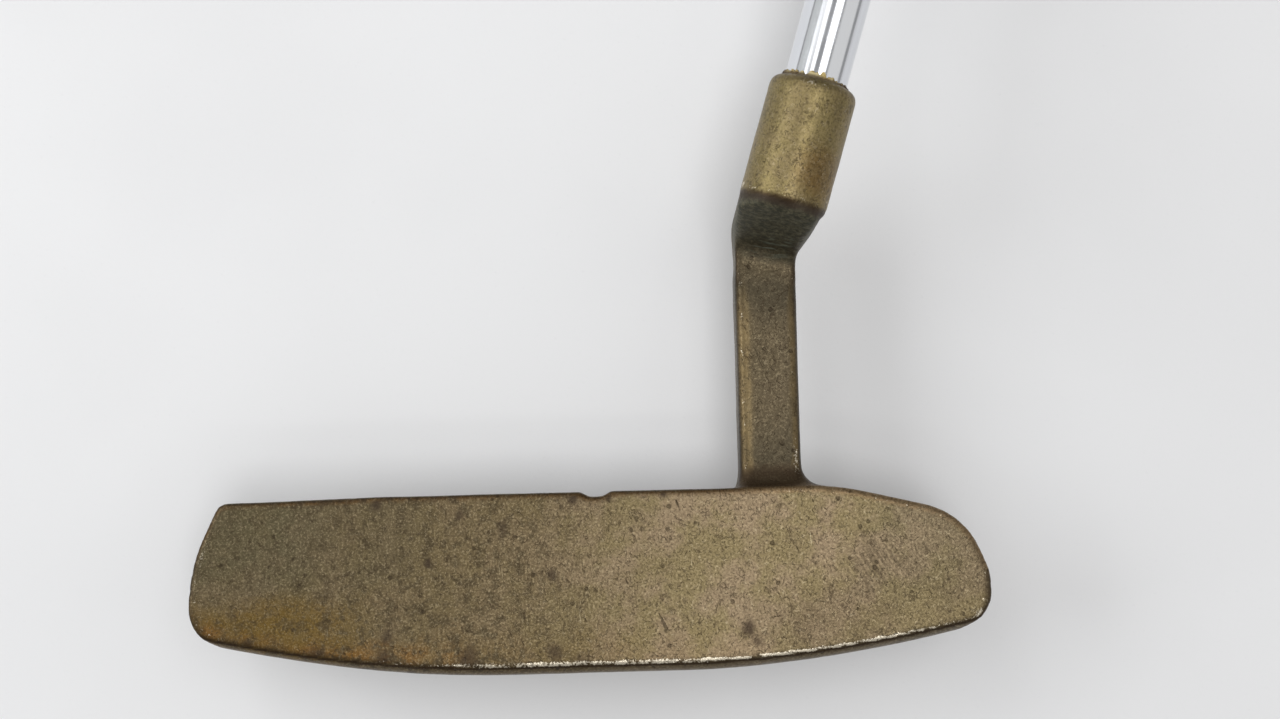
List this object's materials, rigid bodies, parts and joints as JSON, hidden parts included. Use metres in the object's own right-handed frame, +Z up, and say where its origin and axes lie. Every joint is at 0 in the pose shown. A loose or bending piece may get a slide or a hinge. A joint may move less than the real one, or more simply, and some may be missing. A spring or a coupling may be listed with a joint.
{
  "type": "blade putter",
  "caption": "Right-handed blade putter: cast bronze heel-toe weighted head with an offset plumber's neck, stepped chromed steel shaft and rubber pistol grip, lying face up.",
  "frame": {"origin": "middle of the footprint, on the surface that the putter lies on", "axes": "+Y along the shaft from head to grip, +Z up and out of the striking face, +X from toe to heel"},
  "size_m": [0.1146, 0.904, 0.0343],
  "materials": {
    "bronze": "aged",
    "chromed_steel": "polished",
    "pin_brass": "machined",
    "stopper_rubber": "matte",
    "epoxy": "rough",
    "tape": "matte",
    "grip_rubber": "matte",
    "cap_plastic": "satin"
  },
  "bodies": {
    "root": {"head_casting": "bronze", "shaft": "chromed_steel", "tip_weight": "pin_brass", "shaft_stopper": "stopper_rubber", "epoxy_bond": "epoxy", "grip_tape": "tape", "grip": "grip_rubber", "grip_cap": "cap_plastic"}
  },
  "joints": []
}
